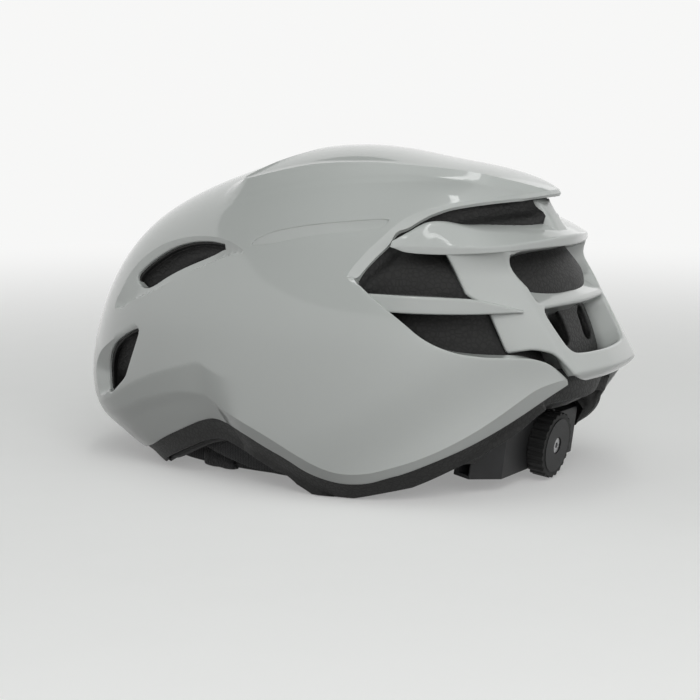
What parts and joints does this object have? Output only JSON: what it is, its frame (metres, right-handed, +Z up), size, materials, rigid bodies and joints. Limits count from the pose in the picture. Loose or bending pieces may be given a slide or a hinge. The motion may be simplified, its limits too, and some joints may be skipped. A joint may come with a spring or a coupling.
{
  "type": "bicycle helmet",
  "caption": "Aero road bicycle helmet with a glossy shell, a rear exhaust frame, a foam liner, pads, chin straps and a nape cradle that a dial winds in.",
  "frame": {"origin": "centre of the helmet's footprint box, on the surface that it stands on", "axes": "+X to the wearer's left, +Y to the rear, +Z up"},
  "size_m": [0.2056, 0.2817, 0.158],
  "materials": {
    "shell_gloss": "pearl white gloss",
    "frame_gloss": "pearl white gloss",
    "foam": "black expanded foam with fine beads",
    "pad_fabric": "brushed knit over soft foam",
    "webbing": "woven webbing",
    "fitting_plastic": "moulded satin",
    "cradle_plastic": "moulded with a fine texture",
    "pin_plastic": "moulded satin",
    "pinion_plastic": "natural acetal",
    "grip_rubber": "soft matte",
    "screw_steel": "turned",
    "spring_steel": "polished"
  },
  "bodies": {
    "helmet": {"outer_shell": "shell_gloss", "rear_shell": "frame_gloss", "eps_liner": "foam", "brow_pad": "pad_fabric", "crown_pad_left": "pad_fabric", "crown_pad_right": "pad_fabric", "crown_pad_centre": "pad_fabric", "side_pad_left": "pad_fabric", "side_pad_right": "pad_fabric", "front_anchor_left": "fitting_plastic", "front_anchor_right": "fitting_plastic", "rear_anchor_left": "fitting_plastic", "rear_anchor_right": "fitting_plastic", "front_strap_left": "webbing", "front_strap_right": "webbing", "rear_strap_left": "webbing", "rear_strap_right": "webbing", "chin_strap_left": "webbing", "chin_strap_right": "webbing", "strap_divider_left": "fitting_plastic", "strap_divider_right": "fitting_plastic", "buckle_socket": "fitting_plastic", "chin_pad": "pad_fabric", "strap_keeper": "grip_rubber", "temple_socket_left": "cradle_plastic", "temple_socket_right": "cradle_plastic", "temple_pin_left": "pin_plastic", "temple_pin_right": "pin_plastic", "height_guide": "cradle_plastic"},
    "cradle": {"temple_link_left": "cradle_plastic", "temple_link_right": "cradle_plastic", "belt_left": "cradle_plastic", "belt_right": "cradle_plastic", "dial_housing": "cradle_plastic", "housing_cover": "cradle_plastic", "height_arm": "cradle_plastic", "nape_pad_left": "pad_fabric", "nape_pad_right": "pad_fabric", "click_spring": "spring_steel"},
    "dial": {"pinion": "pinion_plastic", "dial_core": "cradle_plastic", "dial_grip": "grip_rubber", "dial_screw": "screw_steel"},
    "rack_left": {"rack_left": "cradle_plastic"},
    "rack_right": {"rack_right": "cradle_plastic"},
    "buckle": {"buckle_prong": "fitting_plastic"}
  },
  "joints": [
    {"name": "cradle_tilt", "type": "hinge", "parent": "helmet", "child": "cradle", "pos_m": [0, -0.0422, 0.045], "axis": [1, 0, 0], "range_deg": [0, 4]},
    {"name": "dial_turn", "type": "hinge", "parent": "cradle", "child": "dial", "pos_m": [0, 0.1038, 0.0175], "axis": [0, 0.9903, -0.1392], "range_deg": [-114, 57], "deforming": ["click_spring"]},
    {"name": "rack_left_slide", "type": "slide", "parent": "cradle", "child": "rack_left", "axis": [1, 0, 0], "range_m": [-0.012, 0.006], "deforming": ["belt_left"]},
    {"name": "rack_right_slide", "type": "slide", "parent": "cradle", "child": "rack_right", "axis": [-1, 0, 0], "range_m": [-0.012, 0.006], "deforming": ["belt_right"]},
    {"name": "buckle_release", "type": "slide", "parent": "helmet", "child": "buckle", "axis": [-1, 0, 0], "range_m": [0, 0.022], "deforming": ["chin_strap_right"]}
  ],
  "couplings": [
    {"joint": "rack_left_slide", "follows": "dial_turn", "m_per_rad": 0.006},
    {"joint": "rack_right_slide", "follows": "dial_turn", "m_per_rad": 0.006}
  ]
}
